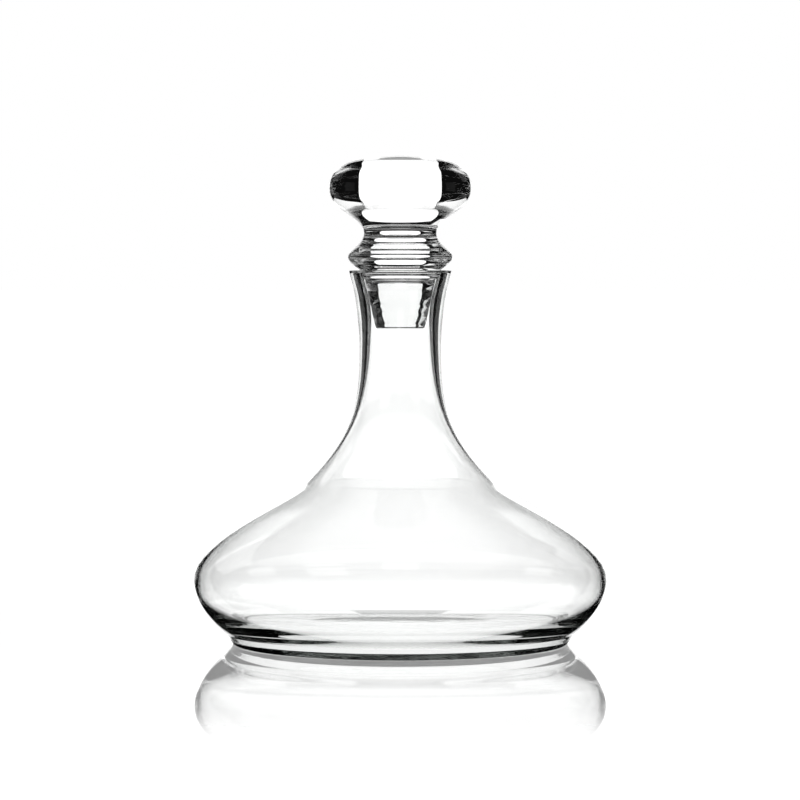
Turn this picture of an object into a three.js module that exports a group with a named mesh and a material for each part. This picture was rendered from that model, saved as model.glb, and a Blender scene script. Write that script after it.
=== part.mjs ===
// A ship's decanter in clear glass: a low, wide blown vessel with a drawn neck, closed by a
// solid glass stopper whose tapered plug drops into the flared mouth.
// Millimetres, +Z up, origin at the centre of the circle that the foot rests on.
import * as THREE from "three";

// Vessel, outside
const RIM_HEIGHT = 183.0;
const RIM_RADIUS = 25.3;
const RIM_FLARE = THREE.MathUtils.degToRad(16);
const NECK_RADIUS = 20.15;
const NECK_HEIGHT = 146.5;
const SHOULDER_RADIUS = 47.4;
const SHOULDER_HEIGHT = 79.3;
const SHOULDER_SLOPE = THREE.MathUtils.degToRad(43.1);
const BELLY_RADIUS = 101.5;
const BELLY_HEIGHT = 31.5;
const HEEL_RADIUS = 86.4;
const HEEL_HEIGHT = 5.8;
const FOOT_RADIUS = 82.0;
const EDGE_ROUNDING = 0.6;

// Vessel, inside: the wall is thin at the shoulder, and thick at the heel and in the neck
const BELLY_WALL = 2.2;
const SHOULDER_WALL = 1.85;
const FLOOR_HEIGHT = 4.5;
const FLOOR_RADIUS = 77.5;
const FLOOR_SLOPE = THREE.MathUtils.degToRad(-36);
const THROAT_RADIUS = 16.0;
const THROAT_HEIGHT = 157.0;
const MOUTH_RADIUS = 20.4;
const MOUTH_FLARE = THREE.MathUtils.degToRad(9);

// Hollow under the foot, inside the ring that stands on the table
const PUNT_RADIUS = 46.0;
const PUNT_DEPTH = 0.8;

// Stopper
const TOP_HEIGHT = 240.0;
const CROWN_RADIUS = 20.0;
const CROWN_HEIGHT = 237.6;
const CROWN_EDGE_RADIUS = 28.6;
const CROWN_EDGE_HEIGHT = 234.6;
const KNOB_RADIUS = 35.0;
const KNOB_HEIGHT = 223.0;
const WAIST_RADIUS = 17.9;
const WAIST_HEIGHT = 201.3;
const COLLAR_RADIUS = 25.8;
const COLLAR_HEIGHT = 189.9;
const SEAT_RADIUS = 20.0;
const SEAT_HEIGHT = 183.3;
const SEAT_FOOT_RADIUS = 19.1;
const SEAT_FOOT_HEIGHT = 180.4;
const PLUG_TOP_RADIUS = 16.9;
const PLUG_TOP_HEIGHT = 176.8;
const PLUG_END_RADIUS = 12.0;
const PLUG_END_HEIGHT = 155.2;
const GROUND_STEP = 0.3;
const GROUND_WAVES = 6;
const GROUND_WAVE_DEPTH = 0.06;

const VESSEL_FACETS = 60;
const STOPPER_FACETS = 40;

// A point of an outline: its distance from the axis, and its height.
const at = (radius, height) => new THREE.Vector2(radius, height);

// The outline between two points that leaves the first towards `leave` and arrives at the
// second from `arrive`.
function sweep(from, leave, arrive, to, steps) {
  return new THREE.CubicBezierCurve(from, leave, arrive, to).getPoints(steps);
}

// A point that lies `length` away from `point`, at `slope` below the horizontal outwards.
function alongSlope(point, slope, length) {
  return at(point.x + length * Math.cos(slope), point.y - length * Math.sin(slope));
}

// A point that lies `length` below `point`, on a flare that leans outwards by `flare`.
function downFlare(point, flare, length) {
  return at(point.x - length * Math.sin(flare), point.y - length * Math.cos(flare));
}

// The body of revolution round +Z of an outline that starts and ends on the axis.
function turned(outline, facets) {
  const distinct = outline.filter((p, i) => i === 0 || p.distanceTo(outline[i - 1]) > 1e-6);
  return new THREE.LatheGeometry(distinct, facets).rotateX(Math.PI / 2);
}

// Underside of the foot: a shallow hollow, the flat ring that stands, and its small edge.
function footOutline() {
  const centre = at(0, PUNT_DEPTH);
  const crest = at(PUNT_RADIUS * 0.4, PUNT_DEPTH);
  const run = at(PUNT_RADIUS * 0.8, PUNT_DEPTH * 0.4);
  return [
    ...sweep(centre, crest, run, at(PUNT_RADIUS, 0), 6),
    at(FOOT_RADIUS - EDGE_ROUNDING, 0),
    at(FOOT_RADIUS, EDGE_ROUNDING * 0.7),
  ];
}

// Outside of the vessel, from the heel up: the bowl of the belly, the shoulder drawn up into
// the neck, and the neck flaring out to the rim.
function outerOutline() {
  const heel = at(HEEL_RADIUS, HEEL_HEIGHT);
  const belly = at(BELLY_RADIUS, BELLY_HEIGHT);
  const shoulder = at(SHOULDER_RADIUS, SHOULDER_HEIGHT);
  const neck = at(NECK_RADIUS, NECK_HEIGHT);
  const rim = at(RIM_RADIUS, RIM_HEIGHT - EDGE_ROUNDING);
  const underShoulder = alongSlope(shoulder, SHOULDER_SLOPE, 6.6);
  const overShoulder = alongSlope(shoulder, SHOULDER_SLOPE, -35);
  return [
    ...sweep(heel, at(heel.x + 2.5, heel.y + 1.6), at(belly.x, belly.y - 13.2), belly, 8),
    ...sweep(belly, at(belly.x, belly.y + 18.7), underShoulder, shoulder, 9),
    ...sweep(shoulder, overShoulder, at(neck.x, neck.y - 28.6), neck, 8),
    ...sweep(neck, at(neck.x, neck.y + 5.4), downFlare(rim, RIM_FLARE, 15), rim, 5),
    at(RIM_RADIUS - EDGE_ROUNDING * 0.7, RIM_HEIGHT),
  ];
}

// Inside of the vessel, from the mouth down: the flare that the stopper sits in, the throat,
// the shoulder, the belly, and the thick heel running in to the floor.
function innerOutline() {
  const mouth = at(MOUTH_RADIUS - EDGE_ROUNDING * 0.5, RIM_HEIGHT - EDGE_ROUNDING);
  const throat = at(THROAT_RADIUS, THROAT_HEIGHT);
  const shoulder = at(
    SHOULDER_RADIUS - SHOULDER_WALL * Math.sin(SHOULDER_SLOPE),
    SHOULDER_HEIGHT - SHOULDER_WALL * Math.cos(SHOULDER_SLOPE),
  );
  const belly = at(BELLY_RADIUS - BELLY_WALL, BELLY_HEIGHT);
  const floor = at(FLOOR_RADIUS, FLOOR_HEIGHT);
  const overShoulder = alongSlope(shoulder, SHOULDER_SLOPE, -31.5);
  const underShoulder = alongSlope(shoulder, SHOULDER_SLOPE, 6.6);
  return [
    at(MOUTH_RADIUS, RIM_HEIGHT),
    ...sweep(mouth, downFlare(mouth, MOUTH_FLARE, 8), at(throat.x, throat.y + 11.6), throat, 5),
    ...sweep(throat, at(throat.x, throat.y - 42), overShoulder, shoulder, 8),
    ...sweep(shoulder, underShoulder, at(belly.x, belly.y + 17.6), belly, 8),
    ...sweep(belly, at(belly.x, belly.y - 14.4), alongSlope(floor, FLOOR_SLOPE, 11.7), floor, 8),
    at(0, FLOOR_HEIGHT),
  ];
}

function vesselGeometry() {
  return turned([...footOutline(), ...outerOutline(), ...innerOutline()], VESSEL_FACETS);
}

// Ground face of the plug: a straight taper with faint rings left by the grinding wheel.
function plugOutline() {
  const end = at(PLUG_END_RADIUS, PLUG_END_HEIGHT + EDGE_ROUNDING * 1.5);
  const top = at(PLUG_TOP_RADIUS - GROUND_STEP, PLUG_TOP_HEIGHT - GROUND_STEP);
  const steps = GROUND_WAVES * 3;
  return Array.from({ length: steps + 1 }, (_, i) => {
    const along = i / steps;
    const wave = GROUND_WAVE_DEPTH * Math.sin(along * GROUND_WAVES * 2 * Math.PI);
    const ground = end.clone().lerp(top, along);
    return at(ground.x + wave, ground.y);
  });
}

// Stopper, from the end of the plug up: plug, seat, collar, waist, knob and shallow crown.
function stopperGeometry() {
  const plugTop = at(PLUG_TOP_RADIUS, PLUG_TOP_HEIGHT);
  const foot = at(SEAT_FOOT_RADIUS, SEAT_FOOT_HEIGHT);
  const seat = at(SEAT_RADIUS, SEAT_HEIGHT);
  const collar = at(COLLAR_RADIUS, COLLAR_HEIGHT);
  const waist = at(WAIST_RADIUS, WAIST_HEIGHT);
  const knob = at(KNOB_RADIUS, KNOB_HEIGHT);
  const edge = at(CROWN_EDGE_RADIUS, CROWN_EDGE_HEIGHT);
  const crown = at(CROWN_RADIUS, CROWN_HEIGHT);
  const top = at(0, TOP_HEIGHT);
  const outline = [
    at(0, PLUG_END_HEIGHT),
    at(PLUG_END_RADIUS - EDGE_ROUNDING * 1.5, PLUG_END_HEIGHT),
    at(PLUG_END_RADIUS - EDGE_ROUNDING * 0.5, PLUG_END_HEIGHT + EDGE_ROUNDING * 0.5),
    ...plugOutline(),
    ...sweep(plugTop, at(plugTop.x + 1.6, plugTop.y + 0.2), at(foot.x - 0.3, foot.y - 1.8), foot, 4),
    ...sweep(seat, at(seat.x + 1.6, seat.y + 1.3), at(collar.x, collar.y - 3.8), collar, 5),
    ...sweep(collar, at(collar.x, collar.y + 3.1), at(waist.x, waist.y - 5.3), waist, 6),
    ...sweep(waist, at(waist.x, waist.y + 8.3), at(knob.x, knob.y - 11.8), knob, 9),
    ...sweep(knob, at(knob.x, knob.y + 7.2), at(edge.x + 2.9, edge.y - 1.9), edge, 6),
    ...sweep(edge, at(edge.x - 2.2, edge.y + 1.4), at(crown.x + 3.4, crown.y - 0.8), crown, 3),
    ...sweep(crown, at(crown.x - 4.6, crown.y + 1.1), at(crown.x * 0.4, top.y), top, 3),
  ];
  return turned(outline, STOPPER_FACETS);
}

function glass(colour) {
  return new THREE.MeshStandardMaterial({
    color: colour,
    roughness: 0.02,
    metalness: 0,
    transparent: true,
    opacity: 0.3,
  });
}

const vessel = new THREE.Mesh(vesselGeometry(), glass(0xf2f6f5));
vessel.name = "vessel";

const stopper = new THREE.Mesh(stopperGeometry(), glass(0xf4f7f6));
stopper.name = "stopper";

const decanter = new THREE.Group();
decanter.add(vessel, stopper);

export default decanter;
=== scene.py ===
import math

import bpy
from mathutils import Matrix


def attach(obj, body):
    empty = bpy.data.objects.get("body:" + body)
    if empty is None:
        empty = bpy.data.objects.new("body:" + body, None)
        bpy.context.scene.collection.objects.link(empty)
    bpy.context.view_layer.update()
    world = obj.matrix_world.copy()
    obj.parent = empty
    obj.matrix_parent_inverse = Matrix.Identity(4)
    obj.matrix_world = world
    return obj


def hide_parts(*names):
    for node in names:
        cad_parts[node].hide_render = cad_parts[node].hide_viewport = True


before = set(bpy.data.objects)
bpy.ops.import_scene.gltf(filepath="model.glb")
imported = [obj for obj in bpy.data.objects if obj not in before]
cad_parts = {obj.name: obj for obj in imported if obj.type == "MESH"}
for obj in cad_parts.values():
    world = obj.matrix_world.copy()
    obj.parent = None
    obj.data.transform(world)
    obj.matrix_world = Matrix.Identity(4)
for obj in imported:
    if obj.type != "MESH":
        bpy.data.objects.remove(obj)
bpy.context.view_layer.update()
bpy.context.scene.view_settings.view_transform = "Standard"


# The vessel is a ship's decanter in clear glass: a wide, low bowl blown thin at the shoulder
# and left thick at the heel, drawn up into the neck and flared out at the mouth. It stands on
# the ground ring of its foot, round a shallow hollow.
PER_METRE = 1000
OUTLINE_STEPS = 15
OUTLINE_WELD = 0.00006
SEAM_WELD = 0.00001
ROUNDED_UP_TO = math.radians(35)
VESSEL_TURN_STEPS = 330


def drawn_outline(name, knots):
    """A line from axis to axis, in millimetres. Each knot has its radius and height, and the
    handles into and out of it, measured from the knot; None runs straight to the neighbour."""
    def at(radius, height):
        return (radius / PER_METRE, 0, height / PER_METRE)

    bpy.ops.object.select_all(action="DESELECT")
    bpy.ops.curve.primitive_bezier_curve_add(location=(0, 0, 0))
    line = bpy.context.active_object
    line.name = name
    line.data.dimensions = "3D"
    spline = line.data.splines[0]
    spline.resolution_u = OUTLINE_STEPS
    spline.bezier_points.add(len(knots) - 2)
    for i, (radius, height, way_in, way_out) in enumerate(knots):
        before = knots[max(i - 1, 0)]
        after = knots[min(i + 1, len(knots) - 1)]
        if way_in is None:
            way_in = ((before[0] - radius) / 3, (before[1] - height) / 3)
        if way_out is None:
            way_out = ((after[0] - radius) / 3, (after[1] - height) / 3)
        point = spline.bezier_points[i]
        point.handle_left_type = "FREE"
        point.handle_right_type = "FREE"
        point.co = at(radius, height)
        point.handle_left = at(radius + way_in[0], height + way_in[1])
        point.handle_right = at(radius + way_out[0], height + way_out[1])


def spun_glass(name, knots, turn_steps):
    """The solid that an outline sweeps once round the upright axis, closed, facing outwards."""
    drawn_outline(name, knots)
    bpy.ops.object.convert(target="MESH")
    bpy.ops.object.mode_set(mode="EDIT")
    bpy.ops.mesh.select_all(action="SELECT")
    bpy.ops.mesh.remove_doubles(threshold=OUTLINE_WELD)
    bpy.ops.mesh.spin(steps=turn_steps, angle=2 * math.pi, center=(0, 0, 0), axis=(0, 0, 1),
                      use_auto_merge=True)
    bpy.ops.mesh.select_all(action="SELECT")
    bpy.ops.mesh.remove_doubles(threshold=SEAM_WELD)
    bpy.ops.mesh.normals_make_consistent(inside=False)
    bpy.ops.object.mode_set(mode="OBJECT")
    bpy.ops.object.shade_smooth_by_angle(angle=ROUNDED_UP_TO)
    return bpy.context.active_object


vessel = spun_glass("decanter_vessel", [
    (0, 0.8, None, (18, 0)),                        # middle of the hollow under the foot
    (46, 0, (-9, 0.3), None),                       # ring that stands, inner edge
    (81.4, 0, None, (0.35, 0)),                     # ring that stands, outer edge
    (82.4, 0.5, (-0.22, -0.27), None),              # side of the foot
    (86.1, 5.4, None, (0.2, 0.24)),                 # top of the foot
    (86.85, 6.1, (-0.27, -0.18), (2.1, 1.4)),       # heel
    (101.5, 31.5, (0, -13.2), (0, 18.7)),           # belly
    (47.4, 79.3, (4.82, -4.51), (-25.56, 23.91)),   # shoulder
    (20.15, 146.5, (0, -28.6), (0, 5.4)),           # neck
    (25.3, 182.4, (-4.13, -14.42), (0.09, 0.33)),   # side of the rim
    (24.88, 183, (0.25, 0), None),                  # top of the rim, outer edge
    (20.6, 183, None, (-0.25, 0)),                  # top of the rim, inner edge
    (20.1, 182.4, (0.05, 0.33), (-1.25, -7.9)),     # mouth
    (16, 157, (0, 11.6), (0, -42)),                 # throat
    (46.14, 77.95, (-23.0, 21.52), (4.82, -4.51)),  # shoulder, inside
    (99.3, 31.5, (0, 17.6), (0, -14.4)),            # belly, inside
    (78.4, 5.15, (8.6, 6.2), (-0.75, -0.5)),        # foot of the inner wall
    (76, 4.5, (0.8, 0), None),                      # edge of the floor
    (0, 4.5, None, (0, 0)),                         # middle of the floor
], VESSEL_TURN_STEPS)

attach(vessel, "vessel")
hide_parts("vessel")

GLASS_IOR = 1.52
CORD_TINT = (0.985, 0.992, 0.988, 1)
COLOURLESS = (1, 1, 1, 1)
VESSEL_CORDS = 14
VESSEL_CORD_DEPTH = 0.00004
# The glass is rippled under the foot. The ripples fade out between two heights, in metres.
FOOT_RIPPLES = 90
FOOT_RIPPLE_DEPTH = 0.0002
RIPPLES_END = (0.0013, 0.0017)
# What a long way through the glass takes out of the light.
DEEP_GLASS = (0, 0.03, 0.01, 1)
DEEP_GLASS_DENSITY = 14


def wiring(owner):
    """The nodes of a material or of the room, and the call that links two of their sockets.
    The helpers below work on the nodes and link that are in use."""
    owner.use_nodes = True
    return owner.node_tree.nodes, owner.node_tree.links.new


def feed(value, socket):
    """Puts a number, or what comes out of another socket, into a socket."""
    if isinstance(value, (int, float)):
        socket.default_value = value
    else:
        link(value, socket)


def maths(operation, *values):
    """One Math node on numbers or sockets."""
    node = nodes.new("ShaderNodeMath")
    node.operation = operation
    for value, socket in zip(values, node.inputs):
        feed(value, socket)
    return node.outputs[0]


def times(first, second):
    """The first multiplied by the second."""
    return maths("MULTIPLY", first, second)


def fade(value, start, end, falling="SMOOTHSTEP"):
    """1 below `start`, falling to 0 at `end`."""
    node = nodes.new("ShaderNodeMapRange")
    node.interpolation_type = falling
    node.inputs["From Min"].default_value = start
    node.inputs["From Max"].default_value = end
    node.inputs["To Min"].default_value = 1
    node.inputs["To Max"].default_value = 0
    link(value, node.inputs["Value"])
    return node.outputs[0]


def clear_glass(name, cord_scale, cord_depth):
    """Clear soda-lime glass with the faint cords of a blown and hand-worked piece."""
    glass = bpy.data.materials.new(name)
    nodes, link = wiring(glass)
    body = nodes["Principled BSDF"]
    body.distribution = "GGX"
    body.inputs["Roughness"].default_value = 0.0
    body.inputs["IOR"].default_value = GLASS_IOR
    body.inputs["Transmission Weight"].default_value = 1.0
    place = nodes.new("ShaderNodeTexCoord")
    place.name = "place"
    cords = nodes.new("ShaderNodeTexNoise")
    cords.inputs["Scale"].default_value = cord_scale
    cords.inputs["Detail"].default_value = 1
    link(place.outputs["Object"], cords.inputs["Vector"])
    tint = nodes.new("ShaderNodeValToRGB")
    tint.color_ramp.elements[0].color = CORD_TINT
    tint.color_ramp.elements[1].color = COLOURLESS
    link(cords.outputs["Fac"], tint.inputs["Fac"])
    link(tint.outputs["Color"], body.inputs["Base Color"])
    uneven = nodes.new("ShaderNodeBump")
    uneven.name = "uneven"
    uneven.inputs["Strength"].default_value = 1.0
    uneven.inputs["Distance"].default_value = cord_depth
    link(cords.outputs["Fac"], uneven.inputs["Height"])
    link(uneven.outputs["Normal"], body.inputs["Normal"])
    return glass


glass = clear_glass("vessel_glass", VESSEL_CORDS, VESSEL_CORD_DEPTH)
nodes, link = wiring(glass)
place = nodes["place"].outputs["Object"]
height = nodes.new("ShaderNodeSeparateXYZ")
link(place, height.inputs[0])
under_foot = fade(height.outputs["Z"], *RIPPLES_END, falling="LINEAR")
ripples = nodes.new("ShaderNodeTexNoise")
ripples.inputs["Scale"].default_value = FOOT_RIPPLES
ripples.inputs["Detail"].default_value = 2
link(place, ripples.inputs["Vector"])
rippled = nodes.new("ShaderNodeBump")
rippled.inputs["Strength"].default_value = 1.0
rippled.inputs["Distance"].default_value = FOOT_RIPPLE_DEPTH
link(times(ripples.outputs["Fac"], under_foot), rippled.inputs["Height"])
link(nodes["uneven"].outputs["Normal"], rippled.inputs["Normal"])
link(rippled.outputs["Normal"], nodes["Principled BSDF"].inputs["Normal"])
deep = nodes.new("ShaderNodeVolumeAbsorption")
deep.inputs["Color"].default_value = DEEP_GLASS
deep.inputs["Density"].default_value = DEEP_GLASS_DENSITY
link(deep.outputs["Volume"], nodes["Material Output"].inputs["Volume"])
vessel.data.materials.append(glass)


# The stopper is one solid piece of clear glass, pressed and then fire-polished: a flattened
# knob on a waist, a rounded collar that covers the mouth, and a tapered plug, ground to fit.
STOPPER_TURN_STEPS = 280
STOPPER_CORDS = 40
STOPPER_CORD_DEPTH = 0.00001

stopper = spun_glass("decanter_stopper", [
    (0, 155.2, None, None),                         # middle of the plug's end
    (11.0, 155.2, None, (0.55, 0)),                 # rounded edge of the end
    (12.0, 156.1, (-0.1, -0.55), (0.5, 1.2)),       # the plug's five ground bands, upwards
    (13.15, 160.6, (-0.1, -1.3), (0.5, 1.3)),
    (14.1, 164.9, (-0.15, -1.4), (0.45, 1.2)),
    (15.2, 169.3, (-0.1, -1.3), (0.5, 1.3)),
    (16.15, 173.9, (-0.15, -1.5), (0.5, 1.4)),
    (17.2, 178.9, (-0.15, -1.4), None),
    (17.5, 179.4, None, (1.2, 0.1)),                # top of the plug
    (19.5, 181.5, (-0.2, -1.0), None),              # seat, in the mouth
    (20.0, 183.3, None, (1.6, 1.3)),                # seat, over the rim
    (25.8, 189.9, (0, -3.8), (0, 3.1)),             # collar
    (17.9, 201.3, (0, -5.3), (0, 8.3)),             # waist
    (35.0, 223.0, (0, -11.8), (0, 7.2)),            # knob
    (28.6, 234.6, (2.9, -1.9), (-2.2, 1.4)),        # edge of the crown
    (20.0, 237.6, (3.4, -0.8), (-4.6, 1.1)),        # crown
    (0, 240, (8, 0), None),                         # top
], STOPPER_TURN_STEPS)

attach(stopper, "stopper")
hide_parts("stopper")

stopper.data.materials.append(clear_glass("stopper_glass", STOPPER_CORDS, STOPPER_CORD_DEPTH))


# The table top is a pale glossy sheet. The camera sees it white, with the mirror image of the
# glass in it near the foot. What looks at it through the glass sees a mirror of the dark
# room, and a disc of painted light, glowing white, where the vessel stands.
TABLE_RADIUS = 30
TABLE_CORNERS = 96
TABLE_HEIGHT = -0.00005
TABLE_LIGHT = 1.12
TABLE_PAPER = (0.8, 0.8, 0.8, 1)
TABLE_OWN_LIGHT = 0.85
# Not quite a perfect mirror: by this the room tells the table's sheen from that of the glass.
SHEEN_ROUGHNESS = 0.02
SHEEN_COLOUR = (1, 1, 1, 1)
SHEEN = 0.73
# Each pair is where a fade starts and ends. A slant is how flatly the table is looked at, from
# 0 straight down to 1 edge on. Distances are in metres, and angles in degrees.
SHEEN_SLANT = (0.5, 0.85)
SHEEN_REACH = (0.24, 0.38)
MIRROR_COLOUR = (0.97, 0.97, 0.97, 1)
MIRROR_SLANT = (0.53, 0.76)
MIRROR_LOSS = 0.8
MIRROR_FROM_ABOVE = (0.25, 0.35)
# The disc of painted light under the foot: where its edge fades, in metres, and how bright it
# glows.
FOOT_EDGE = (0.083, 0.087)
DISC_LIGHT = 1.18
# In the wedge of the table straight behind the vessel, a steep look through the glass finds
# no mirror, because the board would show in it. Further back the table gives that look a dim
# grey glow, painted light.
TO_BOARD = (10, 16)
GREY_FROM = 0.25
GREY_HALF_WIDTH = (0.16, 0.2)
GREY_LIGHT = 0.35

bpy.ops.object.select_all(action="DESELECT")
bpy.ops.mesh.primitive_circle_add(vertices=TABLE_CORNERS, radius=TABLE_RADIUS, fill_type="NGON",
                                  location=(0, 0, TABLE_HEIGHT))
table = bpy.context.active_object
table.name = "table"


def larger(first, second):
    """The larger of the two."""
    return maths("MAXIMUM", first, second)


def fade_aside(angle, edges):
    """1 up to the first of two edges, in degrees, falling to 0 at the second."""
    return fade(angle, *map(math.radians, edges))


def where_not(value):
    """1 where the value is 0, and 0 where it is 1."""
    return maths("SUBTRACT", 1.0, value)


def glossy(roughness, colour):
    """A mirror of that roughness and colour."""
    node = nodes.new("ShaderNodeBsdfGlossy")
    node.inputs["Roughness"].default_value = roughness
    node.inputs["Color"].default_value = colour
    return node.outputs[0]


def mixed(amount, first, second):
    """The first shader where the amount is 0, and the second where it is 1. None is black."""
    node = nodes.new("ShaderNodeMixShader")
    for value, socket in zip((amount, first, second), node.inputs):
        if value is not None:
            feed(value, socket)
    return node.outputs[0]


def shown(surface):
    """Makes the shader the surface of the material in use."""
    out = nodes.new("ShaderNodeOutputMaterial")
    link(surface, out.inputs["Surface"])


sheet = bpy.data.materials.new("white_table")
nodes, link = wiring(sheet)
nodes.clear()
place = nodes.new("ShaderNodeTexCoord")
spot = nodes.new("ShaderNodeSeparateXYZ")
link(place.outputs["Object"], spot.inputs[0])
away = nodes.new("ShaderNodeVectorMath")
away.operation = "LENGTH"
link(place.outputs["Object"], away.inputs[0])
from_axis = away.outputs["Value"]
slant = nodes.new("ShaderNodeLayerWeight").outputs["Facing"]
ray = nodes.new("ShaderNodeLightPath")
through = ray.outputs["Is Transmission Ray"]

white = nodes.new("ShaderNodeEmission")
white.inputs["Strength"].default_value = TABLE_LIGHT
paper = nodes.new("ShaderNodeBsdfDiffuse")
paper.inputs["Color"].default_value = TABLE_PAPER
plain = mixed(TABLE_OWN_LIGHT, paper.outputs[0], white.outputs[0])
edge_on = where_not(fade(slant, *SHEEN_SLANT))
near_glass = times(fade(from_axis, *SHEEN_REACH), SHEEN)
to_camera = mixed(times(edge_on, near_glass), plain, glossy(SHEEN_ROUGHNESS, SHEEN_COLOUR))

foot = fade(from_axis, *FOOT_EDGE)
shallow = where_not(times(fade(slant, *MIRROR_SLANT), MIRROR_LOSS))
aslant = where_not(fade(slant, *MIRROR_FROM_ABOVE))
to_board = fade_aside(
    maths("ABSOLUTE", maths("ARCTAN2", spot.outputs["X"], spot.outputs["Y"])), TO_BOARD)
mirrored = larger(shallow, times(through, times(aslant, where_not(to_board))))
mirror = mixed(times(mirrored, where_not(foot)), None, glossy(0, MIRROR_COLOUR))
# Painted light: a dim grey glow on the table far behind the vessel, for steep looks through the
# glass.
far_back = times(maths("GREATER_THAN", spot.outputs["Y"], GREY_FROM),
                 fade(maths("ABSOLUTE", spot.outputs["X"]), *GREY_HALF_WIDTH))
painted_dim_glow = times(times(where_not(shallow), far_back), GREY_LIGHT)
# Painted light: the table glows white under the foot, only to looks through the glass.
painted_light_disc = times(foot, DISC_LIGHT)
lit = nodes.new("ShaderNodeEmission")
link(times(maths("ADD", painted_dim_glow, painted_light_disc), through), lit.inputs["Strength"])
to_glass = nodes.new("ShaderNodeAddShader")
link(mirror, to_glass.inputs[0])
link(lit.outputs[0], to_glass.inputs[1])

shown(mixed(larger(through, ray.outputs["Is Glossy Ray"]), to_camera, to_glass.outputs[0]))
table.data.materials.append(sheet)


# The white board stands behind the vessel, hidden from the camera and from soft light, and
# shows through the glass. It is a little dimmer at its foot and in a band at the height of
# the shoulder, so that the glass keeps a faint tone there.
BOARD_MIDDLE = (0, 0.5, 0.23)
BOARD_WIDTH = 0.43
BOARD_HEIGHT = 0.46
BOARD_LIGHT = 1.44
BOARD_FOOT = (0, 0.045)
BOARD_FOOT_LOSS = 0.26
BOARD_BAND_FROM = (0.085, 0.115)
BOARD_BAND_TO = (0.13, 0.15)
BOARD_BAND_LOSS = 0.19

bpy.ops.object.select_all(action="DESELECT")
bpy.ops.mesh.primitive_plane_add(
    size=1, location=BOARD_MIDDLE, rotation=(math.pi / 2, 0, 0))
board = bpy.context.active_object
board.name = "white_board"
board.scale = (BOARD_WIDTH, BOARD_HEIGHT, 1)
bpy.ops.object.transform_apply(location=True, rotation=True, scale=True)
board.visible_camera = False
board.visible_diffuse = False
board.visible_shadow = False

card = bpy.data.materials.new("white_card")
nodes, link = wiring(card)
nodes.clear()
place = nodes.new("ShaderNodeTexCoord")
spot = nodes.new("ShaderNodeSeparateXYZ")
link(place.outputs["Object"], spot.inputs[0])
height = spot.outputs["Z"]
foot_loss = times(fade(height, *BOARD_FOOT), BOARD_FOOT_LOSS)
band_loss = times(fade(height, *BOARD_BAND_TO),
                  times(where_not(fade(height, *BOARD_BAND_FROM)), BOARD_BAND_LOSS))
glow = nodes.new("ShaderNodeEmission")
link(maths("SUBTRACT", maths("SUBTRACT", BOARD_LIGHT, foot_loss), band_loss),
     glow.inputs["Strength"])
shown(glow.outputs[0])
board.data.materials.append(card)


# The room is white to the camera, to soft light and to the table's sheen. To what the glass
# mirrors or bends into view it is nearly black, with soft white strips in it, because clear
# glass on white shows by its dark lines and edges.
ROOM_COLOUR = (1, 1, 1, 1)
NEARLY_BLACK = 0.004
QUARTER = math.pi / 2
# In degrees: each pair is where a fade starts and ends, to either side of a strip's middle,
# or the bottom and top of a strip above the horizon.
STRIP_EDGES = (9, 12)
CEILING_EDGE = (50, 62)
# Mirrored by the outside of the glass: a strip behind, weak ones in each quarter of the room
# and across its corners, and a ceiling.
MIRRORED_LOW = (-90, 12)
MIRRORED_LOW_LIGHT = 0.15
MIRRORED_HIGH = (10, 34)
MIRRORED_HIGH_LIGHT = 0.25
MIRRORED_CEILING_LIGHT = 0.6
# Seen through the glass: a strip behind, and by way of the table also one on each side and in
# two corners, so that the views from behind and aside have one to look at.
THROUGH_LIGHT = 1.18
THROUGH_CEILING_LIGHT = 0.12
BACK_EDGES = (13, 15)
BACK = (-90, 12)
SIDES = (-8, 14)
CORNER_EDGES = (11, 14)
BACK_LEFT_CORNER = (16, 37)
FRONT_RIGHT_CORNER = (6, 27)

room = bpy.data.worlds.new("room")
bpy.context.scene.world = room
nodes, link = wiring(room)
nodes.clear()
place = nodes.new("ShaderNodeTexCoord")
aim = nodes.new("ShaderNodeSeparateXYZ")
link(place.outputs["Generated"], aim.inputs[0])
aim_x, aim_y, aim_z = aim.outputs
bearing = maths("ARCTAN2", aim_y, aim_x)
lift = maths("ARCSINE", aim_z)


def band(offset):
    """Upright strips, one in each quarter of the room, turned from +X by the offset."""
    quarters = maths("DIVIDE", maths("ADD", bearing, offset), QUARTER)
    aside = maths("ABSOLUTE", maths("SUBTRACT", quarters, maths("ROUND", quarters)))
    return fade_aside(times(aside, QUARTER), STRIP_EDGES)


def towards(x, y, edges):
    """One upright strip, in the direction (x, y) of the room."""
    along = maths("ADD", times(aim_x, x), times(aim_y, y))
    across = maths("SUBTRACT", times(aim_x, y), times(aim_y, x))
    aside = maths("ABSOLUTE", maths("ARCTAN2", across, along))
    return fade_aside(aside, edges)


def between(bottom, top):
    """1 from `bottom` to `top` degrees above the horizon, and 0 below and above."""
    return times(maths("GREATER_THAN", lift, math.radians(bottom)),
                 maths("LESS_THAN", lift, math.radians(top)))


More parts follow.
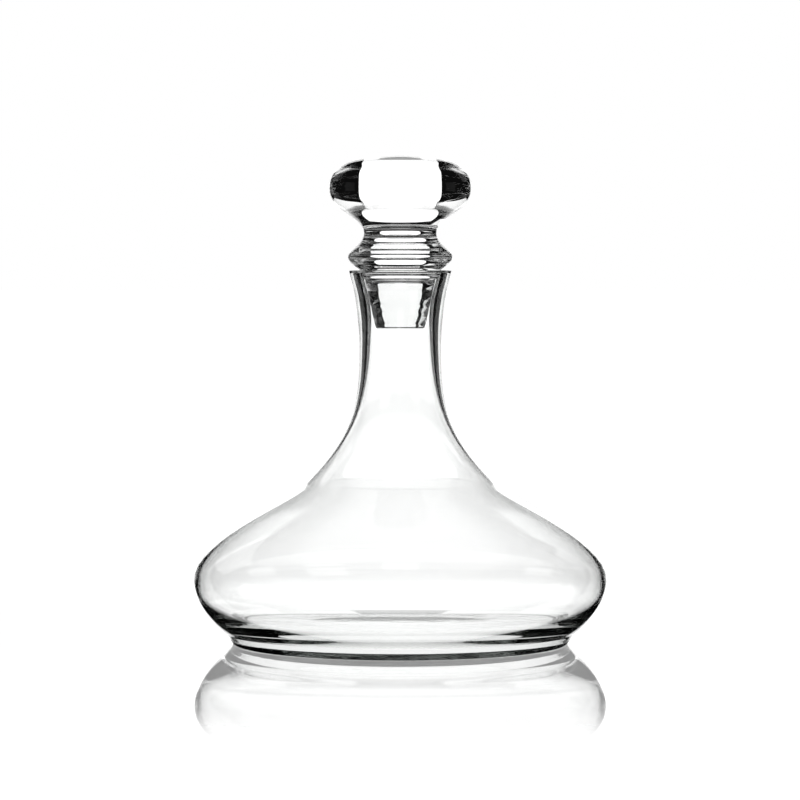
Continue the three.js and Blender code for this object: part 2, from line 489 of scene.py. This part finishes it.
ray = nodes.new("ShaderNodeLightPath").outputs
inside = maths("GREATER_THAN", ray["Transmission Depth"], 0)
outside = where_not(inside)
table_sheen = times(ray["Is Glossy Ray"], times(outside, where_not(ray["Is Singular Ray"])))
direct = larger(table_sheen, larger(ray["Is Camera Ray"], ray["Is Diffuse Ray"]))
ceiling = where_not(fade_aside(lift, CEILING_EDGE))

low = times(larger(times(band(0), MIRRORED_LOW_LIGHT), towards(0, 1, STRIP_EDGES)),
            between(*MIRRORED_LOW))
high = times(times(band(QUARTER / 2), MIRRORED_HIGH_LIGHT), between(*MIRRORED_HIGH))
strips = larger(larger(low, high), NEARLY_BLACK)
reflected = times(larger(strips, times(ceiling, MIRRORED_CEILING_LIGHT)), outside)

back = times(towards(0, 1, BACK_EDGES), between(*BACK))
sides = times(band(0), between(*SIDES))
corners = larger(times(towards(-1, 1, CORNER_EDGES), between(*BACK_LEFT_CORNER)),
                 times(towards(1, -1, CORNER_EDGES), between(*FRONT_RIGHT_CORNER)))
over_table = times(larger(sides, corners), ray["Is Glossy Ray"])
seen = times(larger(back, over_table), THROUGH_LIGHT)
refracted = times(inside, larger(
    seen, larger(times(ceiling, THROUGH_CEILING_LIGHT), NEARLY_BLACK)))

sky = nodes.new("ShaderNodeBackground")
sky.inputs["Color"].default_value = ROOM_COLOUR
link(larger(direct, maths("ADD", reflected, refracted)), sky.inputs["Strength"])
out = nodes.new("ShaderNodeOutputWorld")
link(sky.outputs[0], out.inputs["Surface"])


# The camera stands in front, 1.7 m away and level with the rim, and looks slightly down. Its
# long lens keeps the outline of the glass almost as it is drawn.
CAMERA_PLACE = (-0.0001, -1.7129, 0.18307)
CAMERA_DIP = 2.13
LENS = 157.05
SENSOR_WIDTH = 36
# Light passes many walls on its way through the vessel, the stopper and their mirror images.
GLASS_WALLS = 40
MIRRORINGS = 24

bpy.ops.object.camera_add(
    location=CAMERA_PLACE, rotation=(math.radians(90 - CAMERA_DIP), 0, 0))
camera = bpy.context.active_object
camera.data.sensor_fit = "HORIZONTAL"
camera.data.sensor_width = SENSOR_WIDTH
camera.data.lens = LENS
bpy.context.scene.camera = camera

bpy.context.scene.cycles.max_bounces = GLASS_WALLS
bpy.context.scene.cycles.transmission_bounces = GLASS_WALLS
bpy.context.scene.cycles.glossy_bounces = MIRRORINGS
